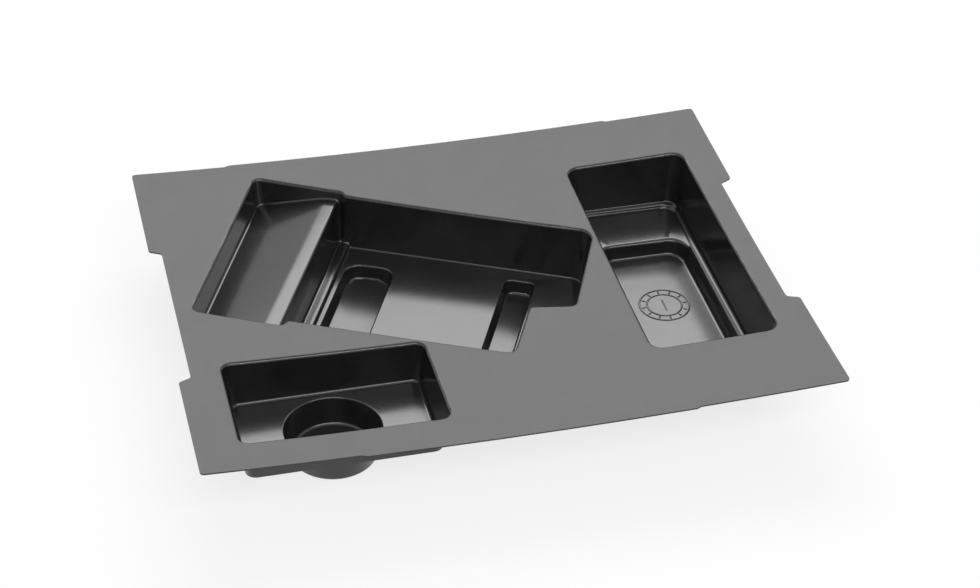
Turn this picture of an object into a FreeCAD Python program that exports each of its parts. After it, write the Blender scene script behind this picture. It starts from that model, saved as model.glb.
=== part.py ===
import FreeCAD, Part
import math
import os

import Sketcher
from FreeCAD import Placement, Rotation, Vector

# Thermoformed tool tray, millimetres.  +X right, +Y back, +Z up.  The finished tray stands on
# z = 0 with the middle of its outline over the origin; while it is built, z = 0 is the middle of
# the sheet's upper face.  The tray is one sheet.  The tool it is drawn over is modelled twice,
# once for the sheet's upper face and once, a gauge lower, for its under face; what lies between
# the two is the sheet, which is then trimmed to its outline.
# Plan sizes of the pockets are those of the upper face on the plane z = 0, and those of a slot,
# a well or a cup are taken on the floor that it sinks into.  Rims, the ridge, the corners in plan
# and the feet of the main floors are true rounds.  The smallest rounds, and those that only the
# under face shows, are bevels that touch the same arcs, which keeps the solid light.

SIZES = {
    # sheet and trim line
    "gauge": 1.0,
    "sheet_width": 390.0,
    "sheet_depth": 311.5,
    "side_land": 18.5,
    "end_land": 16.3,
    "front_land": 4.1,
    "corner_lift": 7.4,
    "trim_corner_radius": 2.5,
    "finger_notch_depth": 7.8,
    "finger_notch_back": 69.5,
    "finger_notch_front": 67.5,
    "finger_notch_slope": 3.5,
    "lip_proud": 1.35,
    "back_lip_half": 130.0,
    "front_lip_half": 99.0,
    "lip_slope": 3.0,
    "blank_margin": 6.0,
    "headroom": 12.0,
    "block_below": 8.0,
    # radii shared by the whole tool
    "rim_radius": 2.2,
    "floor_radius": 1.5,
    "foot_radius": 2.4,
    "edge_radius": 1.8,
    "ledge_radius": 1.4,
    # depths, and steps measured up or down from them
    "foot_depth": 46.5,
    "tool_depth": 37.0,
    "ledge_height": 3.0,
    "ridge_top": 4.6,
    "deep_step_depth": 32.2,
    "deep_step_height": 2.8,
    "front_depth": 25.8,
    "cup_clearance": 3.0,
    # angles, in degrees
    "tool_turn": 25.5,
    "tool_draft": 5.0,
    "rest_slope": 12.4,
    "ridge_draft": 6.0,
    "slot_draft": 6.0,
    "deep_draft": 5.0,
    "well_draft": 6.0,
    "front_draft": 7.5,
    "cup_draft": 12.0,
    # corner radii
    "tool_corner_radius": 5.0,
    "tool_far_radius": 10.0,
    "nose_corner_radius": 3.6,
    "jog_radius": 3.0,
    "ridge_radius": 6.0,
    "wide_slot_radius": 10.0,
    "thin_slot_radius": 4.0,
    "deep_corner_radius": 8.0,
    "well_corner_radius": 13.0,
    "front_corner_radius": 6.0,
}

# Places and sizes of the pockets in plan.  They follow the sheet together, so that a land of
# side_land and end_land is left round them.
PLAN = {
    # tool pocket, in its own axes: u along it, v across it
    "tool_right": 68.5,
    "tool_right_lean": 2.8,
    "tool_back": 72.5,
    "tool_back_lean": 1.7,
    "tool_front": 66.3,
    "nose_side": 40.7,
    "nose_back": 17.6,
    "nose_lean": 7.0,
    # head rest: the raised left end of the tool pocket
    "rest_left": 164.1,
    "rest_left_lean": 3.0,
    "rest_back": 76.2,
    "rest_front": 72.2,
    "rest_right": 101.5,
    "rest_jog": 3.0,
    "ridge_place": 108.2,
    "ledge_edge": 98.3,
    # slots in the floor of the tool pocket
    "wide_slot_left": 91.8,
    "wide_slot_right": 62.3,
    "wide_slot_back": 51.0,
    "wide_slot_front": 50.0,
    "thin_slot_left": 10.6,
    "thin_slot_right": 30.9,
    "thin_slot_back": 57.0,
    "thin_slot_front": 50.0,
    # deep pocket at the right
    "deep_left": 91.4,
    "deep_right": 171.6,
    "deep_back": 107.4,
    "deep_front": 93.6,
    "deep_step_inset": 3.0,
    "well_side_shelf": 6.4,
    "well_back_shelf": 35.0,
    "well_front_shelf": 6.4,
    # front pocket with a round cup in its floor
    "front_left": 167.8,
    "front_right": 43.9,
    "front_front": 130.7,
    "cup_across": 107.4,
    "cup_along": 92.7,
    "cup_radius": 29.6,
}


class Dim:
    """A number and the sheet expression that gives it, kept together."""

    def __init__(self, value, text):
        self.value = value
        self.text = text

    def _join(self, other, sign, result):
        return Dim(result, "({} {} {})".format(self.text, sign, other.text))

    def __add__(self, other):
        return self._join(other, "+", self.value + other.value)

    def __sub__(self, other):
        return self._join(other, "-", self.value - other.value)

    def __mul__(self, other):
        return self._join(other, "*", self.value * other.value)

    def __truediv__(self, other):
        return self._join(other, "/", self.value / other.value)

    def __neg__(self):
        return Dim(-self.value, "(0 - {})".format(self.text))

    def tan(self):
        return Dim(math.tan(math.radians(self.value)), "tan({} * 1 deg)".format(self.text))

    def sin(self):
        return Dim(math.sin(math.radians(self.value)), "sin({} * 1 deg)".format(self.text))

    def cos(self):
        return Dim(math.cos(math.radians(self.value)), "cos({} * 1 deg)".format(self.text))


TURN_FLAT = Vector(0, 0, -1)
TURN_UPRIGHT = Vector(0, -1, 0)
ZERO = Dim(0.0, "0")
ONE = Dim(1.0, "1")
TWO = Dim(2.0, "2")
BEVEL_SHARE = TWO - Dim(math.sqrt(2.0), "sqrt(2)")
INSIDE = 1
OUTSIDE = -1
NEAR = 0.1
FAR = 1000.0
PROBE = 0.05
STEEP = 0.7
UPRIGHT = 1e-6
LEAST_CUT = 1.0
DEEP_MARGIN = 3.5
CREST_REACH = 4.0
CREST_DROP = 0.3

doc = FreeCAD.newDocument("thermoformed_tray")
sheet = doc.addObject("Spreadsheet::Sheet", "sizes")


def write_cell(row, alias, text):
    sheet.set("A{}".format(row), alias)
    sheet.set("B{}".format(row), text)
    sheet.setAlias("B{}".format(row), alias)


for row, (alias, number) in enumerate({**SIZES, **PLAN}.items(), start=1):
    write_cell(row, alias, str(number))
doc.recompute()
D = {alias: Dim(number, "sizes." + alias) for alias, number in SIZES.items()}
whole = {alias: Dim(number, "sizes." + alias) for alias, number in PLAN.items()}

# The corners of the tool pocket at the head rest come nearest to the edges of the sheet.
turn_cos = D["tool_turn"].cos()
turn_sin = D["tool_turn"].sin()
rest_corner = whole["rest_left"] - whole["rest_left_lean"]
reach_x = rest_corner * turn_cos + whole["rest_front"] * turn_sin
reach_y = whole["rest_left"] * turn_sin + whole["rest_back"] * turn_cos
fit_x = (D["sheet_width"] / TWO - D["side_land"]) / reach_x
fit_y = (D["sheet_depth"] / TWO - D["end_land"]) / reach_y
fit_text = "=min({}; {})".format(fit_x.text, fit_y.text)
write_cell(row + 1, "pocket_fit", fit_text.replace("sizes.", ""))
doc.recompute()
pocket_fit = Dim(min(fit_x.value, fit_y.value), "sizes.pocket_fit")
D.update({alias: size * pocket_fit for alias, size in whole.items()})
TOOL_AXES = Placement(Vector(0, 0, 0), Rotation(Vector(0, 0, 1), -SIZES["tool_turn"]))

# The front pocket's right back corner is rounded front_land away from the tool pocket's wall.
corner_u = (D["front_right"] + D["front_corner_radius"]) * turn_sin
corner_v = D["tool_front"] + D["front_land"] + D["front_corner_radius"]
front_back = (corner_v - corner_u) / turn_cos - D["front_corner_radius"]

ledge_depth = D["tool_depth"] - D["ledge_height"]
shelf_depth = D["deep_step_depth"] + D["deep_step_height"]
cup_depth = D["foot_depth"] - D["cup_clearance"]
half_width = D["sheet_width"] / TWO
half_depth = D["sheet_depth"] / TWO
corner_square = half_width * half_width + half_depth * half_depth
dish_radius = (corner_square / D["corner_lift"] + D["corner_lift"]) / TWO


# ---------------------------------------------------------------- sketches
def origin_plane(body, role):
    return next(item for item in body.Origin.OriginFeatures if item.Role == role)


def attach(sketch, body, role, height, turn_axis=None):
    """Put a sketch on an origin plane, raised by height and, on request, in the tool's axes."""
    sketch.AttachmentSupport = [(origin_plane(body, role), "")]
    sketch.MapMode = "FlatFace"
    turn = Rotation()
    if turn_axis is not None:
        turn = Rotation(turn_axis, SIZES["tool_turn"])
    sketch.AttachmentOffset = Placement(Vector(0, 0, height.value), turn)
    if height is not ZERO:
        sketch.setExpression("AttachmentOffset.Base.z", height.text)
    if turn_axis is not None:
        sketch.setExpression("AttachmentOffset.Rotation.Angle", "sizes.tool_turn * 1 deg")


def constrain(sketch, kind, place, dim):
    """Add one driving size to a sketch and bind it to the sheet."""
    index = sketch.addConstraint(Sketcher.Constraint(kind, *place, dim.value))
    sketch.setExpression("Constraints[{}]".format(index), dim.text)


def polygon_sketch(body, name, corners, role="XY_Plane", height=ZERO, turn_axis=None):
    """Closed polygon; every corner is placed by two distances taken from the sheet."""
    sketch = body.newObject("Sketcher::SketchObject", name)
    attach(sketch, body, role, height, turn_axis)
    count = len(corners)
    for number, corner in enumerate(corners):
        following = corners[(number + 1) % count]
        start = Vector(corner[0].value, corner[1].value, 0)
        end = Vector(following[0].value, following[1].value, 0)
        sketch.addGeometry(Part.LineSegment(start, end), False)
    for number in range(count):
        joint = Sketcher.Constraint("Coincident", number, 2, (number + 1) % count, 1)
        sketch.addConstraint(joint)
    for number, corner in enumerate(corners):
        constrain(sketch, "DistanceX", (-1, 1, number, 1), corner[0])
        constrain(sketch, "DistanceY", (-1, 1, number, 1), corner[1])
    return sketch


def circle_sketch(body, name, across, along, radius, height):
    sketch = body.newObject("Sketcher::SketchObject", name)
    attach(sketch, body, "XY_Plane", height)
    centre = Vector(across.value, along.value, 0)
    sketch.addGeometry(Part.Circle(centre, Vector(0, 0, 1), radius.value), False)
    constrain(sketch, "DistanceX", (-1, 1, 0, 3), across)
    constrain(sketch, "DistanceY", (-1, 1, 0, 3), along)
    constrain(sketch, "Radius", (0,), radius)
    return sketch


def box_corners(left, right, front, back):
    return [(left, front), (right, front), (right, back), (left, back)]


# ---------------------------------------------------------------- features
def checked(feature):
    doc.recompute()
    bad = [word for word in ("Invalid", "Error") if word in feature.State]
    if bad or feature.Shape.isNull() or not feature.Shape.isValid():
        raise RuntimeError("{} failed: {}".format(feature.Label, feature.State))
    return feature


def pocket_down(body, name, sketch, depth):
    """Straight pocket from above the block down to a depth below z = 0."""
    before = body.Tip.Shape.Volume
    feature = body.newObject("PartDesign::Pocket", name)
    feature.Profile = sketch
    reach = depth + D["headroom"]
    feature.Length = reach.value
    feature.setExpression("Length", reach.text)
    checked(feature)
    if feature.Shape.Volume > before - LEAST_CUT:
        raise RuntimeError("{} cuts nothing".format(name))
    return feature


def face_normal(face):
    u0, u1, v0, v1 = face.ParameterRange
    return face.normalAt((u0 + u1) / 2, (v0 + v1) / 2)


def draft_walls(body, name, angle, level, skin):
    """Tilt every wall that is still upright.

    The plan size of the upper face holds at the given level.  For the under face the same plan
    holds lower down, by gauge / sin(draft), which sets its walls one gauge behind the upper ones.
    """
    neutral = body.newObject("PartDesign::Plane", name + "_level")
    neutral.AttachmentSupport = [(origin_plane(body, "XY_Plane"), "")]
    neutral.MapMode = "FlatFace"
    height = level - skin / angle.sin()
    neutral.AttachmentOffset = Placement(Vector(0, 0, height.value), Rotation())
    neutral.setExpression("AttachmentOffset.Base.z", height.text)
    base = body.Tip
    walls = []
    for number, face in enumerate(base.Shape.Faces, start=1):
        inside = face.BoundBox.ZMin > block_bottom.value + NEAR
        if inside and abs(face_normal(face).z) < UPRIGHT:
            walls.append("Face{}".format(number))
    feature = body.newObject("PartDesign::Draft", name)
    feature.Base = (base, walls)
    feature.NeutralPlane = (neutral, [""])
    feature.Angle = angle.value
    feature.setExpression("Angle", angle.text)
    return checked(feature)


# ---------------------------------------------------------------- choosing edges
def edge_kind(edge, faces):
    """Tell an inside corner from an outside one; 0 is a smooth joint."""
    if len(faces) != 2:
        return 0
    half = (edge.FirstParameter + edge.LastParameter) / 2
    middle = edge.valueAt(half)
    normals = []
    for face in faces:
        u, v = face.Surface.parameter(middle)
        normals.append(face.normalAt(u, v))
    across = normals[0].cross(edge.tangentAt(half))
    for sign in (1, -1):
        probe = Part.Vertex(middle + across * (sign * PROBE))
        if faces[0].distToShape(probe)[0] < PROBE / 5:
            lean = sign * across.dot(normals[1])
            if lean > PROBE:
                return INSIDE
            if lean < -PROBE:
                return OUTSIDE
            return 0
    return 0


def edges_where(shape, where, kind, steep):
    """Names of the edges of one kind whose middle passes the where-test."""
    owners = {}
    for face in shape.Faces:
        for edge in face.Edges:
            owners.setdefault(edge.hashCode(), []).append(face)
    names = []
    for number, edge in enumerate(shape.Edges, start=1):
        if edge.Degenerated or edge.Length < NEAR:
            continue
        half = (edge.FirstParameter + edge.LastParameter) / 2
        if steep is not None and (abs(edge.tangentAt(half).z) > STEEP) != steep:
            continue
        if not where(edge.valueAt(half)):
            continue
        if edge_kind(edge, owners[edge.hashCode()]) == kind:
            names.append("Edge{}".format(number))
    return names


def fillet(body, name, radius, kind, steep, where):
    base = body.Tip
    names = edges_where(base.Shape, where, kind, steep)
    if not names:
        raise RuntimeError("{} finds no edges".format(name))
    feature = body.newObject("PartDesign::Fillet", name)
    feature.Base = (base, names)
    feature.Radius = radius.value
    feature.setExpression("Radius", radius.text)
    return checked(feature)


def bevel(body, name, radius, kind, steep, where):
    """A flat bevel that touches the round of the given radius on a square edge."""
    base = body.Tip
    names = edges_where(base.Shape, where, kind, steep)
    if not names:
        raise RuntimeError("{} finds no edges".format(name))
    feature = body.newObject("PartDesign::Chamfer", name)
    feature.Base = (base, names)
    size = radius * BEVEL_SHARE
    feature.Size = size.value
    feature.setExpression("Size", size.text)
    return checked(feature)


def in_box(left, right, front, back, low=-FAR, high=FAR):
    """Where-test: inside a box given in the tray's axes."""

    def where(point):
        in_plan = left < point.x < right and front < point.y < back
        return in_plan and low < point.z < high

    return where


def in_deep(low=-FAR, high=FAR):
    left = D["deep_left"].value - DEEP_MARGIN
    right = D["deep_right"].value + DEEP_MARGIN
    front = -D["deep_front"].value - DEEP_MARGIN
    return in_box(left, right, front, D["deep_back"].value + DEEP_MARGIN, low, high)


def in_front(low=-FAR, high=FAR):
    left = -D["front_left"].value - DEEP_MARGIN
    right = -D["front_right"].value + DEEP_MARGIN
    front = -D["front_front"].value - DEEP_MARGIN
    return in_box(left, right, front, -front_back.value + DEEP_MARGIN, low, high)


def in_tool(low=-FAR, high=FAR, left=-FAR, right=FAR):
    """Where-test: in the tool pocket, between two heights and two places along it."""
    deep = in_deep()
    front = in_front()

    def where(point):
        local = TOOL_AXES.inverse().multVec(point)
        in_plan = left < local.x < right and not deep(point) and not front(point)
        return in_plan and low < local.z < high

    return where


def tool_patch(left, right, front, back):
    """Where-test: inside a rectangle in the tool pocket's own axes."""

    def where(point):
        local = TOOL_AXES.inverse().multVec(point)
        return left < local.x < right and front < local.y < back

    return where


def within_blank(where):
    """Where-test: as given, but not on the outer faces of the block."""

    def inside(point):
        in_plan = abs(point.x) < blank_x.value - NEAR and abs(point.y) < blank_y.value - NEAR
        return in_plan and where(point)

    return inside


blank_x = half_width + D["blank_margin"]
blank_y = half_depth + D["blank_margin"]
block_bottom = ZERO - D["foot_depth"] - D["block_below"]


# ---------------------------------------------------------------- one face of the sheet
def build_face(body, skin):
    """The tool with the sheet's face on it; skin is how far this face lies behind the upper."""
    grown_x = blank_x + skin
    grown_y = blank_y + skin
    block = body.newObject("PartDesign::Pad", "block")
    plan = box_corners(-grown_x, grown_x, -grown_y, grown_y)
    block.Profile = polygon_sketch(body, "block_plan", plan)
    block.SideType = "Two sides"
    block.Length = SIZES["headroom"]
    block.setExpression("Length", D["headroom"].text)
    block_depth = skin - block_bottom
    block.setExpression("Length2", block_depth.text)
    checked(block)
    cut_dish(body, skin)
    cut_front_pocket(body, skin)
    cut_tool_pocket(body, skin)
    cut_slots(body, skin)
    cut_deep_pocket(body, skin)
    round_lips(body, skin)
    round_feet(body, skin)
    round_rims(body, skin)


def cut_dish(body, skin):
    """The sheet is not flat: its corners stand above its middle, on one large sphere.

    The sphere is cut by swinging an arc about a level axis through its centre.
    """
    radius = dish_radius + skin
    reach = blank_y + D["headroom"]
    top = D["headroom"] * TWO
    half_angle = math.asin(reach.value / radius.value)
    end_height = dish_radius.value - radius.value * math.cos(half_angle)
    profile = body.newObject("Sketcher::SketchObject", "dish_profile")
    attach(profile, body, "YZ_Plane", ZERO)
    circle = Part.Circle(Vector(0, dish_radius.value, 0), Vector(0, 0, 1), radius.value)
    down = -math.pi / 2
    profile.addGeometry(Part.ArcOfCircle(circle, down - half_angle, down + half_angle), False)
    corners = [
        Vector(reach.value, end_height, 0),
        Vector(reach.value, top.value, 0),
        Vector(-reach.value, top.value, 0),
        Vector(-reach.value, end_height, 0),
    ]
    for first, second in zip(corners, corners[1:]):
        profile.addGeometry(Part.LineSegment(first, second), False)
    axis_start = Vector(-reach.value, dish_radius.value, 0)
    axis_end = Vector(reach.value, dish_radius.value, 0)
    profile.addGeometry(Part.LineSegment(axis_start, axis_end), True)
    for joint in ((0, 2, 1, 1), (1, 2, 2, 1), (2, 2, 3, 1), (3, 2, 0, 1)):
        profile.addConstraint(Sketcher.Constraint("Coincident", *joint))
    for kind, line in (("Vertical", 1), ("Horizontal", 2), ("Vertical", 3), ("Horizontal", 4)):
        profile.addConstraint(Sketcher.Constraint(kind, line))
    profile.addConstraint(Sketcher.Constraint("PointOnObject", 0, 3, -2))
    profile.addConstraint(Sketcher.Constraint("PointOnObject", 0, 3, 4))
    constrain(profile, "DistanceY", (-1, 1, 0, 3), dish_radius)
    constrain(profile, "Radius", (0,), radius)
    constrain(profile, "DistanceX", (-1, 1, 1, 2), reach)
    constrain(profile, "DistanceX", (3, 1, -1, 1), reach)
    constrain(profile, "DistanceY", (-1, 1, 2, 2), top)
    constrain(profile, "DistanceX", (4, 1, -1, 1), reach)
    constrain(profile, "DistanceX", (-1, 1, 4, 2), reach)
    side = blank_x + D["headroom"]
    dish = body.newObject("PartDesign::Groove", "dish")
    dish.Profile = profile
    dish.ReferenceAxis = (profile, ["Axis0"])
    dish.Midplane = True
    dish.Angle = 2 * math.degrees(math.atan(side.value / dish_radius.value))
    dish.setExpression("Angle", "2 * atan({} / {})".format(side.text, dish_radius.text))
    checked(dish)


def cut_tool_pocket(body, skin):
    """The slanting pocket for the tool, with the raised head rest, ridge and ledge at its left."""
    rest_right_end = D["rest_right"] + D["rest_jog"]
    plan = [
        (D["rest_left_lean"] - D["rest_left"], -D["rest_front"]),
        (-rest_right_end, -D["rest_front"]),
        (-D["rest_right"], -D["tool_front"]),
        (D["nose_side"], -D["tool_front"]),
        (D["nose_side"], -D["nose_back"]),
        (D["tool_right"], D["nose_lean"] - D["nose_back"]),
        (D["tool_right"] - D["tool_right_lean"], D["tool_back"] - D["tool_back_lean"]),
        (-D["rest_right"], D["tool_back"]),
        (-rest_right_end, D["rest_back"]),
        (-D["rest_left"], D["rest_back"]),
    ]
    sketch = polygon_sketch(body, "tool_plan", plan, height=D["headroom"], turn_axis=TURN_FLAT)
    pocket_down(body, "tool_pocket", sketch, D["tool_depth"] + skin)
    draft_walls(body, "tool_walls", D["tool_draft"], ZERO, skin)

    far_corner = tool_patch(D["nose_side"].value, FAR, 0, FAR)
    nose_corner = tool_patch(0, D["nose_side"].value + D["nose_lean"].value, -FAR, 0)
    jogs = tool_patch(-rest_right_end.value - DEEP_MARGIN, -D["ledge_edge"].value, -FAR, FAR)
    fillet(body, "tool_far_corner", D["tool_far_radius"] + skin, INSIDE, True, far_corner)
    fillet(body, "nose_corner", D["nose_corner_radius"] - skin, OUTSIDE, True, nose_corner)
    fillet(body, "jogs_outside", D["jog_radius"] - skin, OUTSIDE, True, jogs)
    fillet(body, "jogs_inside", D["jog_radius"] + skin, INSIDE, True, jogs)

    # The profile is drawn on the upright plane along the pocket: a ramp up to the ridge, its
    # steep right side, the narrow ledge at its foot and the low wall down to the tool floor.
    turn = (D["rest_slope"] - D["ridge_draft"]).cos()
    apex_in = skin * (D["rest_slope"].cos() - D["ridge_draft"].sin()) / turn
    apex_down = skin * (D["rest_slope"].sin() + D["ridge_draft"].cos()) / turn
    apex_u = D["ridge_place"] + apex_in
    apex_z = D["ridge_top"] + apex_down
    ramp_end = D["rest_left"] + D["headroom"]
    ramp_z = apex_z + (ramp_end - apex_u) * D["rest_slope"].tan()
    ledge_z = ledge_depth + skin
    floor_z = D["tool_depth"] + skin
    side_foot = apex_u - (ledge_z - apex_z) * D["ridge_draft"].tan()
    lip_u = D["ledge_edge"] + skin / D["ridge_draft"].cos() - skin * D["ridge_draft"].tan()
    ledge_foot = lip_u - (floor_z - ledge_z) * D["ridge_draft"].tan()
    profile = [
        (-ramp_end, ZERO - floor_z - D["gauge"]),
        (-ledge_foot, ZERO - floor_z - D["gauge"]),
        (-ledge_foot, -floor_z),
        (-lip_u, -ledge_z),
        (-side_foot, -ledge_z),
        (-apex_u, -apex_z),
        (-ramp_end, -ramp_z),
    ]
    ridge = body.newObject("PartDesign::Pad", "ridge")
    ridge.Profile = polygon_sketch(
        body, "ridge_profile", profile, "XZ_Plane", turn_axis=TURN_UPRIGHT
    )
    ridge.SideType = "Symmetric"
    span = TWO * (D["rest_back"] + D["gauge"] + skin)
    ridge.Length = span.value
    ridge.setExpression("Length", span.text)
    checked(ridge)

    over_floor = -SIZES["tool_depth"] - skin.value + NEAR
    ridge_left = -D["ridge_place"].value - 2 * SIZES["ridge_radius"]
    corner = D["tool_corner_radius"] + skin
    fillet(body, "rest_corners", corner, INSIDE, True, in_tool(over_floor, 0, -FAR, ridge_left))
    fillet(body, "tool_corners", corner, INSIDE, True, in_tool(-FAR, 0, 0, FAR))


def cut_slots(body, skin):
    """Two slots in the tool floor, for what sticks out below the tool."""
    for label, sign in (("wide_slot", -ONE), ("thin_slot", ONE)):
        left = sign * D[label + "_left"]
        right = sign * D[label + "_right"]
        plan = box_corners(left, right, -D[label + "_front"], D[label + "_back"])
        sketch = polygon_sketch(
            body, label + "_plan", plan, height=D["headroom"], turn_axis=TURN_FLAT
        )
        pocket_down(body, label, sketch, D["foot_depth"] + skin)
        draft_walls(body, label + "_walls", D["slot_draft"], -D["tool_depth"], skin)
        under_floor = in_tool(-FAR, -SIZES["tool_depth"] - skin.value - NEAR)
        radius = D[label + "_radius"] + skin
        fillet(body, label + "_corners", radius, INSIDE, True, under_floor)


def cut_deep_pocket(body, skin):
    """The deep pocket: a mouth, a low step round it, a shelf, and a well in the shelf."""
    mouth = box_corners(D["deep_left"], D["deep_right"], -D["deep_front"], D["deep_back"])
    mouth_sketch = polygon_sketch(body, "deep_plan", mouth, height=D["headroom"])
    pocket_down(body, "deep_pocket", mouth_sketch, D["deep_step_depth"] + skin)
    draft_walls(body, "deep_walls", D["deep_draft"], ZERO, skin)
    corner = D["deep_corner_radius"] + skin
    fillet(body, "deep_corners", corner, INSIDE, True, in_deep())

    inset = D["deep_step_depth"] * D["deep_draft"].tan() + D["deep_step_inset"]
    left = D["deep_left"] + inset
    right = D["deep_right"] - inset
    front = inset - D["deep_front"]
    back = D["deep_back"] - inset
    shelf_sketch = polygon_sketch(
        body, "shelf_plan", box_corners(left, right, front, back), height=D["headroom"]
    )
    pocket_down(body, "shelf", shelf_sketch, shelf_depth + skin)
    draft_walls(body, "shelf_walls", D["deep_draft"], -D["deep_step_depth"], skin)
    below_step = in_deep(high=-SIZES["deep_step_depth"] - skin.value)
    fillet(body, "shelf_corners", corner, INSIDE, True, below_step)

    well = box_corners(
        left + D["well_side_shelf"],
        right - D["well_side_shelf"],
        front + D["well_front_shelf"],
        back - D["well_back_shelf"],
    )
    well_sketch = polygon_sketch(body, "well_plan", well, height=D["headroom"])
    pocket_down(body, "well", well_sketch, D["foot_depth"] + skin)
    draft_walls(body, "well_walls", D["well_draft"], -shelf_depth, skin)
    below_shelf = in_deep(high=-shelf_depth.value - skin.value)
    fillet(
        body, "well_corners", D["well_corner_radius"] + skin, INSIDE, True, below_shelf
    )


def cut_front_pocket(body, skin):
    """The front pocket and the round cup in its floor."""
    plan = box_corners(-D["front_left"], -D["front_right"], -D["front_front"], -front_back)
    sketch = polygon_sketch(body, "front_plan", plan, height=D["headroom"])
    pocket_down(body, "front_pocket", sketch, D["front_depth"] + skin)
    draft_walls(body, "front_walls", D["front_draft"], ZERO, skin)
    fillet(
        body, "front_corners", D["front_corner_radius"] + skin, INSIDE, True, in_front()
    )
    cup = circle_sketch(
        body, "cup_plan", -D["cup_across"], -D["cup_along"], D["cup_radius"], D["headroom"]
    )
    pocket_down(body, "cup", cup, cup_depth + skin)
    draft_walls(body, "cup_walls", D["cup_draft"], -D["front_depth"], skin)


def at_depth(where, depth, skin):
    """Where-test: at one depth of the upper face, taken on this face."""
    height = -depth.value - skin.value
    return where(height - NEAR, height + NEAR)


def round_lips(body, skin):
    """Outside edges below the sheet: the ridge, the ledge and the rims of slots, well and cup."""
    place = -D["ridge_place"].value
    crest_low = -SIZES["ridge_top"] - 2 * skin.value - CREST_DROP
    crest = in_tool(crest_low, 0, place - CREST_REACH, place + CREST_REACH)
    lip = D["edge_radius"] - skin
    thin_lip = D["ledge_radius"] - skin
    fillet(body, "ridge_crest", D["ridge_radius"] - skin, OUTSIDE, False, crest)
    bevel(body, "ledge_lip", thin_lip, OUTSIDE, False, at_depth(in_tool, ledge_depth, skin))
    bevel(body, "slot_lips", lip, OUTSIDE, False, at_depth(in_tool, D["tool_depth"], skin))
    bevel(body, "step_lip", thin_lip, OUTSIDE, False, at_depth(in_deep, D["deep_step_depth"], skin))
    bevel(body, "well_lip", lip, OUTSIDE, False, at_depth(in_deep, shelf_depth, skin))
    bevel(body, "cup_lip", lip, OUTSIDE, False, at_depth(in_front, D["front_depth"], skin))


def round_feet(body, skin):
    """Inside edges, where walls meet floors."""
    soften = bevel if skin.value else fillet
    foot = D["foot_radius"] + skin
    floor = D["floor_radius"] + skin
    bevel(body, "cup_foot", foot, INSIDE, False, at_depth(in_front, cup_depth, skin))
    soften(body, "well_foot", foot, INSIDE, False, at_depth(in_deep, D["foot_depth"], skin))
    bevel(body, "slot_feet", foot, INSIDE, False, at_depth(in_tool, D["foot_depth"], skin))
    bevel(body, "deep_foot", floor, INSIDE, False, at_depth(in_deep, D["deep_step_depth"], skin))
    bevel(body, "shelf_foot", floor, INSIDE, False, at_depth(in_deep, shelf_depth, skin))
    soften(body, "front_foot", foot, INSIDE, False, at_depth(in_front, D["front_depth"], skin))
    tool_low = -SIZES["tool_depth"] - skin.value - NEAR
    fillet(body, "tool_foot", floor, INSIDE, None, in_tool(tool_low, -NEAR))


def round_rims(body, skin):
    """The mouths of the pockets, where their walls turn out into the flange."""
    soften = bevel if skin.value else fillet
    rim = D["rim_radius"] - skin
    top = -skin.value - NEAR
    soften(body, "deep_rim", rim, OUTSIDE, False, within_blank(in_deep(top)))
    soften(body, "front_rim", rim, OUTSIDE, False, within_blank(in_front(top)))
    soften(body, "tool_rim", rim, OUTSIDE, False, within_blank(in_tool(top)))


upper_face = doc.addObject("PartDesign::Body", "upper_face")
build_face(upper_face, ZERO)
under_face = doc.addObject("PartDesign::Body", "under_face")
build_face(under_face, D["gauge"])

# ---------------------------------------------------------------- trimming
skin_of_tool = doc.addObject("Part::Cut", "drawn_sheet")
skin_of_tool.Base = upper_face
skin_of_tool.Tool = under_face
checked(skin_of_tool)

notch_x = half_width - D["finger_notch_depth"]
notch_back = D["finger_notch_back"] - D["finger_notch_slope"]
notch_front = D["finger_notch_front"] - D["finger_notch_slope"]
front_lip_end = D["front_lip_half"] + D["lip_slope"]
back_lip_end = D["back_lip_half"] + D["lip_slope"]
lip_y = half_depth + D["lip_proud"]
outline = [
    (-half_width, -half_depth),
    (-front_lip_end, -half_depth),
    (-D["front_lip_half"], -lip_y),
    (D["front_lip_half"], -lip_y),
    (front_lip_end, -half_depth),
    (half_width, -half_depth),
    (half_width, -D["finger_notch_front"]),
    (notch_x, -notch_front),
    (notch_x, notch_back),
    (half_width, D["finger_notch_back"]),
    (half_width, half_depth),
    (back_lip_end, half_depth),
    (D["back_lip_half"], lip_y),
    (-D["back_lip_half"], lip_y),
    (-back_lip_end, half_depth),
    (-half_width, half_depth),
    (-half_width, D["finger_notch_back"]),
    (-notch_x, notch_back),
    (-notch_x, -notch_front),
    (-half_width, -D["finger_notch_front"]),
]
trim = doc.addObject("PartDesign::Body", "trim")
trimmer = trim.newObject("PartDesign::Pad", "trim_prism")
trimmer.Profile = polygon_sketch(trim, "outline", outline)
trimmer.SideType = "Two sides"
trimmer.setExpression("Length", (D["headroom"] * TWO).text)
trimmer.setExpression("Length2", (D["foot_depth"] + D["block_below"]).text)
checked(trimmer)


def at_side(point):
    return abs(point.x) > notch_x.value - NEAR


radius = D["trim_corner_radius"]
fillet(trim, "trim_corners", radius, OUTSIDE, True, at_side)
fillet(trim, "trim_hollows", radius, INSIDE, True, at_side)

tray = doc.addObject("Part::Common", "tray")
tray.Label = "tray"
tray.Base = skin_of_tool
tray.Tool = trim
stand = D["foot_depth"] + D["gauge"]
tray.Placement = Placement(Vector(0, 0, stand.value), Rotation())
tray.setExpression("Placement.Base.z", stand.text)
checked(tray)

for item in doc.Objects:
    if "Invalid" in item.State or "Error" in item.State:
        raise RuntimeError("{} is not right: {}".format(item.Label, item.State))
if len(tray.Shape.Solids) != 1:
    raise RuntimeError("the tray is not one solid")

os.makedirs("parts", exist_ok=True)
tray.Shape.exportStep("parts/tray.step")
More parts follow.
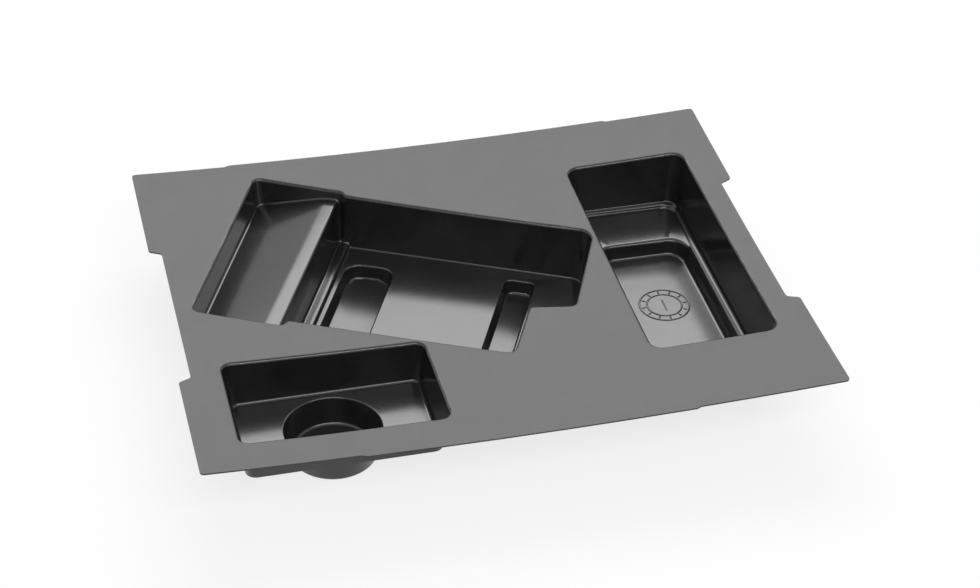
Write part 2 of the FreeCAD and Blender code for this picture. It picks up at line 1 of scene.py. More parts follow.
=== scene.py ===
# %% [markdown]
# # A thermoformed tray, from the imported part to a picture
# The object is one sheet of black plastic that was heated, drawn down over a tool and trimmed.
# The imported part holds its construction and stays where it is. This lesson makes the sheet's skin
# from a copy of it, works a few forms further than the solid does, and gives it a finish: a satin
# deck, glossier pockets and a fine orange-peel grain. A small dial is added in the deep well.
# The frame is loaded first, and its box is measured, because nothing made later may outgrow it.

# %% Load the frame
import math

import bmesh
import bpy
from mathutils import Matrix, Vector


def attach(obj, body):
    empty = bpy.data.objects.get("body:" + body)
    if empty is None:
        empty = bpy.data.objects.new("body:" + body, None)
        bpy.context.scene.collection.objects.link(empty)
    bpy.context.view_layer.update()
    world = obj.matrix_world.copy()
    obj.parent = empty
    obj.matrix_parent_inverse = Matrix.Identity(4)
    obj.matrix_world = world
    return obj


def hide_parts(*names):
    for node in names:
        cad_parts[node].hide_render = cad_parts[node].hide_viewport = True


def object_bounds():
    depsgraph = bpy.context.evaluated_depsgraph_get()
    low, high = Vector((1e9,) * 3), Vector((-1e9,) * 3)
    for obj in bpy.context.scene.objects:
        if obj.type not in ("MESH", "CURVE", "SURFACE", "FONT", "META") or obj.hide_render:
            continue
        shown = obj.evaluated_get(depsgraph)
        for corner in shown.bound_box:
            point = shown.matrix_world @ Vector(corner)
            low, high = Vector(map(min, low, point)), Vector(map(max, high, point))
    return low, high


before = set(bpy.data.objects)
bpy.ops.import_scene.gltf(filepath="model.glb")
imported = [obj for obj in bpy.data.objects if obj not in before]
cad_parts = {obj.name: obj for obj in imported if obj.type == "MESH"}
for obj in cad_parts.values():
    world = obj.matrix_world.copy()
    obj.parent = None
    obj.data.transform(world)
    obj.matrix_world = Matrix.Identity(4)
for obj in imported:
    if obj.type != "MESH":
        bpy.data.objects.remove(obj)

cad_low, cad_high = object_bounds()
sheet_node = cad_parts["tray"]
print("frame box:", cad_low, cad_high)

# %% [markdown]
# ## Lengths that the rest is worked out from
# Blender counts in metres, and a moulder counts in millimetres, so one helper turns one into the
# other. The deck level is the height of the middle of the deck, and the pockets are measured down
# from it. The sheet is dished, so its corners lie some seven millimetres higher. The gauge is the
# thickness of the sheet, in millimetres: the lower face repeats the upper one that much deeper.

# %% Units and levels
MM = 0.001
GAUGE = 1.0


def mm(length):
    """A length in metres, or a vector of them, from millimetres."""
    return length * MM


DECK_LEVEL = mm(47.5)
print("deck level:", DECK_LEVEL, "top of the box:", cad_high.z)

# %% [markdown]
# ## The skin of the sheet
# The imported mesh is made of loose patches, one for each face of the solid. Light that slides over
# such patches breaks at their borders. A copy with its doubles merged lets the shading run on from
# a floor into its fillet. The cut edges of the sheet turn by a right angle, and every other turn is
# gentler, so one limit tells the two apart.

# %% A merged copy of the sheet
MERGE_DISTANCE = mm(0.001)
SHARP_TURN = math.radians(60)

form = bmesh.new()
form.from_mesh(sheet_node.data)
bmesh.ops.remove_doubles(form, verts=form.verts, dist=MERGE_DISTANCE)
form.normal_update()
print("merged skin:", len(form.verts), "points,", len(form.faces), "faces")

# %% [markdown]
# ## The level top of the ridge
# The head rest ends in a ridge. On the real tray its top is a level strip with a tight right edge,
# and the solid has one broad round there. A mesh takes such a change well as a map: each point near
# the ramp is read as a place along the old outline and a height above it, and is put at the
# matching place of the new outline, at the same height. The lower face, a gauge below, follows by
# itself. Two cuts are made first, so that the gentle bend at the strip's left end has points.

# %% Axes of the tool pocket
TOOL_TURN = math.radians(25.5)


def to_tool(point):
    """Along the tool pocket, across it, and up from the deck, in millimetres."""
    x, y = point.x / MM, point.y / MM
    along = x * math.cos(TOOL_TURN) - y * math.sin(TOOL_TURN)
    across = x * math.sin(TOOL_TURN) + y * math.cos(TOOL_TURN)
    return along, across, (point.z - DECK_LEVEL) / MM


def from_tool(along, across, up):
    """The point in metres at a place of the tool pocket."""
    x = along * math.cos(TOOL_TURN) + across * math.sin(TOOL_TURN)
    y = across * math.cos(TOOL_TURN) - along * math.sin(TOOL_TURN)
    return Vector((mm(x), mm(y), mm(up) + DECK_LEVEL))


print("the tool pocket is turned by", round(math.degrees(TOOL_TURN), 1), "degrees")

# %% The old and the new outline of the ridge
REST_END = -164.1
RIDGE_APEX = Vector((-108.2, -4.6))
SIDE_LEAN = math.radians(84)
NEW_APEX = Vector((-106.9, -4.6))
NEW_LEAN = math.radians(86.5)
RAMP_SLOPE = math.radians(12.4)
BROAD_ROUND = 6.0
TIGHT_ROUND = 2.2
STRIP_LEFT = -116.4
STRETCH_START = -121.0
BEND_HALF = 1.9
BEND_FADE = 3.0

broad_tangent = BROAD_ROUND * math.tan((RAMP_SLOPE + SIDE_LEAN) / 2)
broad_left = RIDGE_APEX - broad_tangent * Vector((math.cos(RAMP_SLOPE), math.sin(RAMP_SLOPE)))
broad_centre = broad_left + BROAD_ROUND * Vector((math.sin(RAMP_SLOPE), -math.cos(RAMP_SLOPE)))
tight_left = NEW_APEX.x - TIGHT_ROUND * math.tan(NEW_LEAN / 2)
tight_centre = Vector((tight_left, NEW_APEX.y - TIGHT_ROUND))
ramp_drop = (RIDGE_APEX.x - REST_END) * math.tan(RAMP_SLOPE)
new_slope = math.atan(ramp_drop / (STRIP_LEFT - REST_END))
stretch = (tight_left - STRETCH_START) / (broad_left.x - STRETCH_START)
print("ramp slope from", math.degrees(RAMP_SLOPE), "to", round(math.degrees(new_slope), 2))


def old_place(along, up):
    """Place along the old ramp, or turn round the old crest, and the height above it."""
    level = RIDGE_APEX.y + (along - RIDGE_APEX.x) * math.tan(RAMP_SLOPE)
    height = (up - level) * math.cos(RAMP_SLOPE)
    foot = along + height * math.sin(RAMP_SLOPE)
    if foot <= broad_left.x:
        return foot, None, height
    out = Vector((along, up)) - broad_centre
    return None, math.atan2(out.x, out.y), out.length - BROAD_ROUND


def new_place(foot, turn, height):
    """The point of the new outline for a place and a height of the old one."""
    if turn is None:
        if foot > STRETCH_START:
            foot = STRETCH_START + (foot - STRETCH_START) * stretch
        fall = max(STRIP_LEFT - foot, 0.0) * math.tan(new_slope)
        share = (STRIP_LEFT + BEND_FADE - foot) / (2 * BEND_FADE)
        lean = new_slope * min(max(share, 0.0), 1.0)
        up = RIDGE_APEX.y - fall + height * math.cos(lean)
        return Vector((foot - height * math.sin(lean), up))
    turn = (turn + RAMP_SLOPE) * NEW_LEAN / (SIDE_LEAN + RAMP_SLOPE)
    return tight_centre + (TIGHT_ROUND + height) * Vector((math.sin(turn), math.cos(turn)))


# %% Reshape the ridge
REST_ALONG = (REST_END - 6.0, -100.0)
REST_ACROSS = (-79.0, 83.0)
NEAR_RAMP = (-2.0, 2.7)
TURN_SLACK = 0.005


def near_ridge(point):
    """Whether a point belongs to the ramp, the crest, or the rounds that run along them."""
    along, across, up = to_tool(point)
    if not REST_ALONG[0] < along < REST_ALONG[1] or not REST_ACROSS[0] < across < REST_ACROSS[1]:
        return False
    foot, turn, height = old_place(along, up)
    if turn is not None and not -RAMP_SLOPE <= turn <= SIDE_LEAN + TURN_SLACK:
        return False
    return NEAR_RAMP[0] < height < NEAR_RAMP[1]


def cut_across_ramp(form, place):
    """A line of new points across the ramp, on both faces of the sheet."""
    faces = [face for face in form.faces if all(near_ridge(vert.co) for vert in face.verts)]
    edges = {edge for face in faces for edge in face.edges}
    verts = {vert for face in faces for vert in face.verts}
    middle = from_tool(place, 0, 0)
    normal = from_tool(1, 0, 0) - from_tool(0, 0, 0)
    bmesh.ops.bisect_plane(
        form, geom=[*verts, *edges, *faces], dist=MERGE_DISTANCE, plane_co=middle, plane_no=normal
    )


for bend in (STRIP_LEFT - BEND_HALF, STRIP_LEFT + BEND_HALF):
    cut_across_ramp(form, STRETCH_START + (bend - STRETCH_START) / stretch)

moved = [vert for vert in form.verts if near_ridge(vert.co)]
for vert in moved:
    along, across, up = to_tool(vert.co)
    along, up = new_place(*old_place(along, up))
    vert.co = from_tool(along, across, up)
print("ridge:", len(moved), "points moved")

# %% [markdown]
# ## The deep pocket, where the ledge is only at the back
# In the solid a low step runs all round the deep pocket. On the real tray it is a ledge along the
# back wall, and at the sides and the front the wall runs straight down to the shelf. So the step is
# let down to the shelf, and fades back in round the two back corners. The well in the shelf is made
# wider and its lip softer, and its back wall stands a little further in. New faces could be built
# for all this, but moving the points keeps the sheet closed. A point of the lower face is read a
# gauge higher than it lies, so both faces move by the same rule.

# %% Which points lie on the upper face
LEVEL_NORMAL = 0.9


def upper_points(form):
    """The points that are reached from the deck without crossing a sharp turn."""
    flat = [face for face in form.faces if face.normal.z > LEVEL_NORMAL]
    start = max(flat, key=lambda face: face.calc_center_median().z)
    reached, waiting = {start}, [start]
    while waiting:
        for edge in waiting.pop().edges:
            if edge.calc_face_angle(math.pi) > SHARP_TURN:
                continue
            for face in edge.link_faces:
                if face not in reached:
                    reached.add(face)
                    waiting.append(face)
    return {vert for face in reached for vert in face.verts}


upper = upper_points(form)
print("upper face:", len(upper), "of", len(form.verts), "points")

# %% Let the step down
SHELF_LEVEL = -35.0
STEP_HEIGHT = 2.8
STEP_SIDES = (85.0, 176.0)
STEP_ENDS = (-97.0, 107.0)
FADE_START, FADE_END = 93.0, 100.5
LEVEL_SLACK = 0.02


def tray_place(vert):
    """A point's place in the tray, and its level on the upper face, in millimetres."""
    up = (vert.co.z - DECK_LEVEL) / MM + (0 if vert in upper else GAUGE)
    return vert.co.x / MM, vert.co.y / MM, up


def let_step_down(form):
    """The step, and the foot of the wall above it, sink to the shelf, apart from the back run."""
    count = 0
    for vert in form.verts:
        x, y, up = tray_place(vert)
        inside = STEP_SIDES[0] < x < STEP_SIDES[1] and STEP_ENDS[0] < y < STEP_ENDS[1]
        if not inside or not SHELF_LEVEL + LEVEL_SLACK < up < SHELF_LEVEL + 2 * STEP_HEIGHT:
            continue
        share = min(max((FADE_END - y) / (FADE_END - FADE_START), 0.0), 1.0)
        share = share * share * (3 - 2 * share)
        fall = min(STEP_HEIGHT, up - SHELF_LEVEL)
        vert.co.z -= mm(fall) * share
        count += 1
    return count


print("step:", let_step_down(form), "points let down")

# %% Widen the well
WELL_SIDES = (100.0, 161.5)
WELL_ENDS = (-83.5, 75.0)
WELL_MIDDLE = 131.5
WELL_WIDER = 3.0
WELL_BACK_IN = 1.7
LIP_SOFTER = 1.1
LIP_DEPTH = 2.0


def widen_well(form):
    """The well's walls move out at the sides and in at the back, and its lip grows softer."""
    count = 0
    for vert in form.verts:
        x, y, up = tray_place(vert)
        inside = WELL_SIDES[0] < x < WELL_SIDES[1] and WELL_ENDS[0] < y < WELL_ENDS[1]
        if not inside or up > SHELF_LEVEL + LEVEL_SLACK:
            continue
        side = math.copysign(1, x - WELL_MIDDLE)
        end = math.copysign(1, y)
        on_shelf = up > SHELF_LEVEL - LEVEL_SLACK
        spread = LIP_SOFTER if on_shelf else 0.0
        vert.co.x += mm(side * (WELL_WIDER + spread))
        vert.co.y += mm(end * spread - (WELL_BACK_IN if end > 0 else 0.0))
        if not on_shelf and up > SHELF_LEVEL - LIP_DEPTH:
            vert.co.z -= mm(LIP_SOFTER)
        count += 1
    return count


print("well:", widen_well(form), "points moved")

# %% [markdown]
# ## The left sides of the two slots
# The two slots in the floor of the tool pocket have sides that lean. The left side of the wide slot
# stands a little further left than in the solid, and that of the thin slot a little further right.
# A whole side moves at once, lip, wall and foot, so its lean and its rounds stay as they are.

# %% Move the left sides of the slots
SLOT_LEVEL = -37.0
SLOT_REACH = 60.0
WIDE_SLOT_LEFT = (-94.0, -80.0)
WIDE_SLOT_SHIFT = -2.2
THIN_SLOT_LEFT = (8.5, 20.0)
THIN_SLOT_SHIFT = 0.9


def shift_slot_side(form, span, shift):
    """The points of a slot's side, between two places along the tool pocket, move along it."""
    step = from_tool(shift, 0, 0) - from_tool(0, 0, 0)
    count = 0
    for vert in form.verts:
        along, across, up = to_tool(vert.co)
        up += 0 if vert in upper else GAUGE
        in_span = span[0] < along < span[1] and abs(across) < SLOT_REACH
        if in_span and up < SLOT_LEVEL + LEVEL_SLACK:
            vert.co += step
            count += 1
    print("slot side:", count, "points shifted by", shift, "mm")


shift_slot_side(form, WIDE_SLOT_LEFT, WIDE_SLOT_SHIFT)
shift_slot_side(form, THIN_SLOT_LEFT, THIN_SLOT_SHIFT)

# %% [markdown]
# ## The cup, turned anew
# A shape with an axis shows every facet when light runs round it. The cup's walls are taken out and
# turned anew from the same sizes: from the ring where it meets the pocket's floor, over a rounded
# lip, down the tapered wall and through a rounded foot to the floor. The lower face gets the same
# outline a gauge further out, so the wall stays even.

# %% The cup's outline
CUP_CENTRE = Vector((-107.4, -92.7))
CUP_LEVEL = -25.8
CUP_FLOOR = -43.5
CUP_MOUTH = 29.6
CUP_DRAFT = math.radians(12)
CUP_FOOT_ROUND = 2.4
ROUND_STEPS = 6


def rounded(before, corner, after, radius):
    """Points of the round that replaces a corner between two straight runs."""
    inward = (corner - before).normalized()
    outward = (after - corner).normalized()
    turn = inward.angle(outward)
    side = (outward - inward * inward.dot(outward)).normalized()
    centre = corner - inward * radius * math.tan(turn / 2) + side * radius
    steps = [turn * step / ROUND_STEPS for step in range(ROUND_STEPS + 1)]
    return [centre + radius * (inward * math.sin(step) - side * math.cos(step)) for step in steps]


def cup_outline(offset, ring):
    """Radius and level from the ring on the pocket's floor to the edge of the cup's floor."""
    mouth = CUP_MOUTH + offset / math.cos(CUP_DRAFT) - offset * math.tan(CUP_DRAFT)
    top = Vector((mouth, CUP_LEVEL - offset))
    foot = Vector((mouth - (CUP_LEVEL - CUP_FLOOR) * math.tan(CUP_DRAFT), CUP_FLOOR - offset))
    lip_turn = math.pi / 2 - CUP_DRAFT
    lip = rounded(Vector((ring, top.y)), top, foot, (ring - mouth) / math.tan(lip_turn / 2))
    base = rounded(top, foot, Vector((0, foot.y)), CUP_FOOT_ROUND + offset)
    return lip + base


print("cup:", CUP_LEVEL - CUP_FLOOR, "mm deep,", 2 * CUP_MOUTH, "mm across its mouth")

# %% Turn the cup
RING_SEARCH = 2.4


def from_axis(vert):
    """A point's place round the cup's axis, in millimetres."""
    return Vector((vert.co.x / MM, vert.co.y / MM)) - CUP_CENTRE


def open_cup(form, offset, members):
    """Take one face of the cup out, down from the ring of points that it is then built on."""
    level = DECK_LEVEL + mm(CUP_LEVEL - offset)
    floor_points = [vert for vert in members if abs(vert.co.z - level) < mm(LEVEL_SLACK)]
    ring = [vert for vert in floor_points if from_axis(vert).length < CUP_MOUTH + RING_SEARCH]
    ring.sort(key=lambda vert: math.atan2(from_axis(vert).y, from_axis(vert).x))
    reach = sum(from_axis(vert).length for vert in ring) / len(ring)
    inside = {vert for vert in members if from_axis(vert).length < reach + LEVEL_SLACK}
    inside = {vert for vert in inside if vert.co.z < level + mm(LEVEL_SLACK)}
    old = [face for face in form.faces if all(vert in inside for vert in face.verts)]
    bmesh.ops.delete(form, geom=old, context="FACES")
    return ring, reach


def turn_cup(form, offset, members):
    """One face of the cup, rebuilt in rows from its ring down to the middle of its floor."""
    ring, reach = open_cup(form, offset, members)
    rows = [ring]
    for radius, up in cup_outline(offset, reach)[1:]:
        row = []
        for vert in ring:
            place = CUP_CENTRE + from_axis(vert).normalized() * radius
            row.append(form.verts.new((mm(place.x), mm(place.y), mm(up) + DECK_LEVEL)))
        rows.append(row)
    for above, below in zip(rows, rows[1:]):
        for here in range(len(ring)):
            form.faces.new((above[here - 1], above[here], below[here], below[here - 1]))
    middle = form.verts.new((*mm(CUP_CENTRE), mm(CUP_FLOOR - offset) + DECK_LEVEL))
    for here in range(len(ring)):
        form.faces.new((rows[-1][here - 1], rows[-1][here], middle))
    print("cup:", len(ring), "points in a ring at", round(reach, 2), "mm")


lower = set(form.verts) - upper
turn_cup(form, 0.0, upper)
turn_cup(form, GAUGE, lower)
bmesh.ops.recalc_face_normals(form, faces=form.faces)

# %% [markdown]
# ## Even shading
# Weighted normals keep the large floors flat and let the narrow strips between them carry the turn,
# so a bevel reads as a round. The sheet becomes a plain mesh again at the end, with the modifier
# worked in.

# %% Shade and finish the skin
AREA_WEIGHT = 100


def flattened(source, name):
    """A new object that holds the source's evaluated mesh, with no modifiers left."""
    graph = bpy.context.evaluated_depsgraph_get()
    mesh = bpy.data.meshes.new_from_object(source.evaluated_get(graph))
    mesh.name = name
    plain = bpy.data.objects.new(name, mesh)
    bpy.context.collection.objects.link(plain)
    bpy.data.objects.remove(source)
    return plain


bmesh.ops.dissolve_degenerate(form, edges=form.edges, dist=MERGE_DISTANCE)
for face in form.faces:
    face.smooth = True
for edge in form.edges:
    edge.smooth = edge.calc_face_angle(math.pi) < SHARP_TURN
skin = bpy.data.objects.new("formed_skin", bpy.data.meshes.new("formed_skin"))
form.to_mesh(skin.data)
form.free()
bpy.context.collection.objects.link(skin)
even = skin.modifiers.new("even_shading", "WEIGHTED_NORMAL")
even.mode = "FACE_AREA"
even.weight = AREA_WEIGHT
even.keep_sharp = True
bpy.context.view_layer.update()
sheet_skin = flattened(skin, "formed_sheet")
print("sheet skin:", len(sheet_skin.data.polygons), "faces")

# %% [markdown]
# ## The dial in the deep well
# Formed trays often carry a small mark on a floor that doesn't show in use. The one here is a
# generic dial: two rings, twelve ticks between them and a pointer. The ticks follow a rule, so
# Geometry Nodes place them: one tick is made, set on the points of a circle and turned to face
# outwards. The tree has a named input for each size, so the dial can be changed without opening it.

# %% A helper for node trees
def add_node(tree, kind, place, **settings):
    """One node of a tree, at a place in the editor, with its settings."""
    node = tree.nodes.new(kind)
    node.location = place
    for name, value in settings.items():
        setattr(node, name, value)
    return node


def input_id(tree, name):
    """The identifier of a tree's input, which is what a modifier is set by."""
    return next(
        item.identifier
        for item in tree.interface.items_tree
        if item.item_type == "SOCKET" and item.in_out == "INPUT" and item.name == name
    )


# %% The rings of the dial
LINE_POINTS = 12
RING_POINTS = 72


def add_rings(tree, start, join):
    """Two circles, each swept by a small round line."""
    half_line = add_node(tree, "ShaderNodeMath", (-700, 300), operation="MULTIPLY")
    half_line.inputs[1].default_value = 0.5
    tree.links.new(start.outputs["Line Width"], half_line.inputs[0])
    profile = add_node(tree, "GeometryNodeCurvePrimitiveCircle", (-500, 300))
    profile.inputs["Resolution"].default_value = LINE_POINTS
    tree.links.new(half_line.outputs[0], profile.inputs["Radius"])
    for name, height in (("Outer Radius", 600), ("Inner Radius", 450)):
        ring = add_node(tree, "GeometryNodeCurvePrimitiveCircle", (-500, height))
        ring.inputs["Resolution"].default_value = RING_POINTS
        tree.links.new(start.outputs[name], ring.inputs["Radius"])
        swept = add_node(tree, "GeometryNodeCurveToMesh", (-200, height))
        tree.links.new(ring.outputs["Curve"], swept.inputs["Curve"])
        tree.links.new(profile.outputs["Curve"], swept.inputs["Profile Curve"])
        tree.links.new(swept.outputs["Mesh"], join.inputs["Geometry"])


# %% The ticks of the dial
BALL_DIVISIONS = 3


def add_stations(tree, start):
    """The points that the ticks stand on: a circle halfway between the rings."""
    middle = add_node(tree, "ShaderNodeMath", (-700, -100), operation="ADD")
    tree.links.new(start.outputs["Outer Radius"], middle.inputs[0])
    tree.links.new(start.outputs["Inner Radius"], middle.inputs[1])
    half = add_node(tree, "ShaderNodeMath", (-540, -100), operation="MULTIPLY")
    half.inputs[1].default_value = 0.5
    tree.links.new(middle.outputs[0], half.inputs[0])
    stations = add_node(tree, "GeometryNodeMeshCircle", (-380, -100))
    tree.links.new(start.outputs["Tick Count"], stations.inputs["Vertices"])
    tree.links.new(half.outputs[0], stations.inputs["Radius"])
    return stations


def add_ticks(tree, start, join):
    """A ball one metre across, drawn out into a tick and set on each station, facing outwards."""
    stations = add_stations(tree, start)
    ball = add_node(tree, "GeometryNodeMeshIcoSphere", (-560, -350))
    ball.inputs["Radius"].default_value = 0.5
    ball.inputs["Subdivisions"].default_value = BALL_DIVISIONS
    size = add_node(tree, "ShaderNodeCombineXYZ", (-560, -550))
    tree.links.new(start.outputs["Tick Length"], size.inputs["X"])
    tree.links.new(start.outputs["Line Width"], size.inputs["Y"])
    tree.links.new(start.outputs["Line Width"], size.inputs["Z"])
    shaped = add_node(tree, "GeometryNodeTransform", (-380, -350))
    tree.links.new(ball.outputs["Mesh"], shaped.inputs["Geometry"])
    tree.links.new(size.outputs["Vector"], shaped.inputs["Scale"])
    where = add_node(tree, "GeometryNodeInputPosition", (-380, -650))
    outwards = add_node(tree, "FunctionNodeAlignEulerToVector", (-200, -650), axis="X")
    tree.links.new(where.outputs["Position"], outwards.inputs["Vector"])
    ticks = add_node(tree, "GeometryNodeInstanceOnPoints", (-20, -250))
    tree.links.new(stations.outputs["Mesh"], ticks.inputs["Points"])
    tree.links.new(shaped.outputs["Geometry"], ticks.inputs["Instance"])
    tree.links.new(outwards.outputs["Rotation"], ticks.inputs["Rotation"])
    tree.links.new(ticks.outputs["Instances"], join.inputs["Geometry"])
    return ball


# %% The pointer and the whole dial
DIAL_LENGTHS = ("Outer Radius", "Inner Radius", "Line Width", "Tick Length", "Pointer Length")


def add_pointer(tree, start, join, ball):
    """The same ball, drawn out into a pointer through the middle."""
    reach = add_node(tree, "ShaderNodeCombineXYZ", (-560, -850))
    tree.links.new(start.outputs["Line Width"], reach.inputs["X"])
    tree.links.new(start.outputs["Pointer Length"], reach.inputs["Y"])
    tree.links.new(start.outputs["Line Width"], reach.inputs["Z"])
    pointer = add_node(tree, "GeometryNodeTransform", (-380, -850))
    tree.links.new(ball.outputs["Mesh"], pointer.inputs["Geometry"])
    tree.links.new(reach.outputs["Vector"], pointer.inputs["Scale"])
    tree.links.new(pointer.outputs["Geometry"], join.inputs["Geometry"])


def dial_tree(material):
    """The rings, the ticks between them and the pointer, as one mesh around the origin."""
    tree = bpy.data.node_groups.new("floor_dial", "GeometryNodeTree")
    tree.interface.new_socket("Geometry", in_out="OUTPUT", socket_type="NodeSocketGeometry")
    for name in DIAL_LENGTHS:
        tree.interface.new_socket(name, in_out="INPUT", socket_type="NodeSocketFloat")
    tree.interface.new_socket("Tick Count", in_out="INPUT", socket_type="NodeSocketInt")
    start = add_node(tree, "NodeGroupInput", (-900, 0))
    join = add_node(tree, "GeometryNodeJoinGeometry", (300, 0))
    add_rings(tree, start, join)
    ball = add_ticks(tree, start, join)
    add_pointer(tree, start, join, ball)
    real = add_node(tree, "GeometryNodeRealizeInstances", (460, 0))
    finish = add_node(tree, "GeometryNodeSetMaterial", (620, 0))
    finish.inputs["Material"].default_value = material
    end = add_node(tree, "NodeGroupOutput", (780, 0))
    tree.links.new(join.outputs["Geometry"], real.inputs["Geometry"])
    tree.links.new(real.outputs["Geometry"], finish.inputs["Geometry"])
    tree.links.new(finish.outputs["Geometry"], end.inputs["Geometry"])
    return tree


# %% [markdown]
# ## The plastic
# The sheet is black all through, and what changes from place to place is its gloss: the flat deck
# is satin, and the rims and the drawn pockets are shinier. Both faces carry a fine orange peel.
# Several materials could share this out, but their borders would show. One material reads how far
# each point lies below the dished deck instead, so the gloss changes where the sheet turns down.

# %% Values of the black sheet
BLACK_DEEP = (0.011, 0.011, 0.012, 1)
BLACK_PALE = (0.016, 0.016, 0.017, 1)
CLOUD_RANGE = (0.35, 0.70)
CLOUD_SIZE = mm(24)
PLASTIC_IOR = 1.54
SATIN = 0.46
RIM_GLOSS = 0.14
FLOOR_GLOSS = 0.18
RIM_DEPTHS = (mm(0.05), mm(0.3))
POCKET_DEPTHS = (mm(3), mm(8))
SMEAR_SIZE = mm(7)
SMEAR_CHANGE = 0.025
WAVE_SIZE = mm(38)
WAVE_HEIGHT = mm(0.35)
WAVE_DEPTHS = (mm(2), mm(8))
WAVE_STRENGTHS = (0.12, 0.45)
PEEL_SIZE = mm(0.9)
PEEL_HEIGHT = mm(0.02)
PEEL_STRENGTH = 0.5
DECK_DISH = 0.1184

corner_rise = DECK_DISH * (cad_high.x ** 2 + cad_high.y ** 2)
print("the dish lifts a corner by", round(corner_rise / MM, 2), "mm")


# %% Depth, steps and noise for the material
def depth_under_deck(tree, point):
    """How far a point lies below the dished deck, in metres."""
    axes = add_node(tree, "ShaderNodeSeparateXYZ", (-1500, -100))
    tree.links.new(point.outputs["Object"], axes.inputs["Vector"])
    level = add_node(tree, "ShaderNodeCombineXYZ", (-1500, -300))
    tree.links.new(axes.outputs["X"], level.inputs["X"])
    tree.links.new(axes.outputs["Y"], level.inputs["Y"])
    square = add_node(tree, "ShaderNodeVectorMath", (-1320, -300), operation="DOT_PRODUCT")
    tree.links.new(level.outputs["Vector"], square.inputs[0])
    tree.links.new(level.outputs["Vector"], square.inputs[1])
    deck = add_node(tree, "ShaderNodeMath", (-1140, -300), operation="MULTIPLY_ADD")
    deck.inputs[1].default_value = DECK_DISH
    deck.inputs[2].default_value = DECK_LEVEL
    tree.links.new(square.outputs["Value"], deck.inputs[0])
    depth = add_node(tree, "ShaderNodeMath", (-960, -200), operation="SUBTRACT")
    tree.links.new(deck.outputs["Value"], depth.inputs[0])
    tree.links.new(axes.outputs["Z"], depth.inputs[1])
    return depth


def step_between(tree, depth, depths, levels, place):
    """A smooth change from one level to another over a range of depths."""
    change = add_node(tree, "ShaderNodeMapRange", place, interpolation_type="SMOOTHSTEP")
    change.inputs["From Min"].default_value = depths[0]
    change.inputs["From Max"].default_value = depths[1]
    change.inputs["To Min"].default_value = levels[0]
    change.inputs["To Max"].default_value = levels[1]
    tree.links.new(depth.outputs["Value"], change.inputs["Value"])
    return change


def scaled_noise(tree, point, size, detail, place):
    """Noise whose features are about the given size in metres."""
    noise = add_node(tree, "ShaderNodeTexNoise", place)
    noise.inputs["Scale"].default_value = 1 / size
    noise.inputs["Detail"].default_value = detail
    tree.links.new(point.outputs["Object"], noise.inputs["Vector"])
    return noise


# %% Tint, gloss and grain
def add_tint(tree, point, shader):
    """Black, a shade paler in soft clouds."""
    cloud = scaled_noise(tree, point, CLOUD_SIZE, 4, (-900, 400))
    tint = add_node(tree, "ShaderNodeValToRGB", (-400, 400))
    for stop, position, colour in zip(
        tint.color_ramp.elements, CLOUD_RANGE, (BLACK_DEEP, BLACK_PALE)
    ):
        stop.position = position
        stop.color = colour
    tree.links.new(cloud.outputs["Fac"], tint.inputs["Fac"])
    tree.links.new(tint.outputs["Color"], shader.inputs["Base Color"])


def add_gloss(tree, point, depth, shader):
    """Satin on the deck, shiniest on the rims, a little duller further down, with faint smears."""
    onto_rim = step_between(tree, depth, RIM_DEPTHS, (SATIN, RIM_GLOSS), (-700, 0))
    duller = (0.0, FLOOR_GLOSS - RIM_GLOSS)
    into_pocket = step_between(tree, depth, POCKET_DEPTHS, duller, (-700, -200))
    drawn = add_node(tree, "ShaderNodeMath", (-500, -50), operation="ADD")
    tree.links.new(onto_rim.outputs["Result"], drawn.inputs[0])
    tree.links.new(into_pocket.outputs["Result"], drawn.inputs[1])
    smear = scaled_noise(tree, point, SMEAR_SIZE, 6, (-900, -450))
    wear = add_node(tree, "ShaderNodeMapRange", (-500, -300))
    wear.inputs["To Min"].default_value = -SMEAR_CHANGE
    wear.inputs["To Max"].default_value = SMEAR_CHANGE
    tree.links.new(smear.outputs["Fac"], wear.inputs["Value"])
    rough = add_node(tree, "ShaderNodeMath", (-300, -100), operation="ADD")
    tree.links.new(drawn.outputs["Value"], rough.inputs[0])
    tree.links.new(wear.outputs["Result"], rough.inputs[1])
    tree.links.new(rough.outputs["Value"], shader.inputs["Roughness"])


def add_grain(tree, point, depth, shader):
    """Slow waves, stronger in the pockets, under a fine orange peel."""
    wave = scaled_noise(tree, point, WAVE_SIZE, 1, (-900, -650))
    sag = step_between(tree, depth, WAVE_DEPTHS, WAVE_STRENGTHS, (-700, -650))
    slow = add_node(tree, "ShaderNodeBump", (-400, -650))
    slow.inputs["Distance"].default_value = WAVE_HEIGHT
    tree.links.new(sag.outputs["Result"], slow.inputs["Strength"])
    tree.links.new(wave.outputs["Fac"], slow.inputs["Height"])
    peel = scaled_noise(tree, point, PEEL_SIZE, 2, (-900, -850))
    fine = add_node(tree, "ShaderNodeBump", (-100, -700))
    fine.inputs["Strength"].default_value = PEEL_STRENGTH
    fine.inputs["Distance"].default_value = PEEL_HEIGHT
    tree.links.new(peel.outputs["Fac"], fine.inputs["Height"])
    tree.links.new(slow.outputs["Normal"], fine.inputs["Normal"])
    tree.links.new(fine.outputs["Normal"], shader.inputs["Normal"])


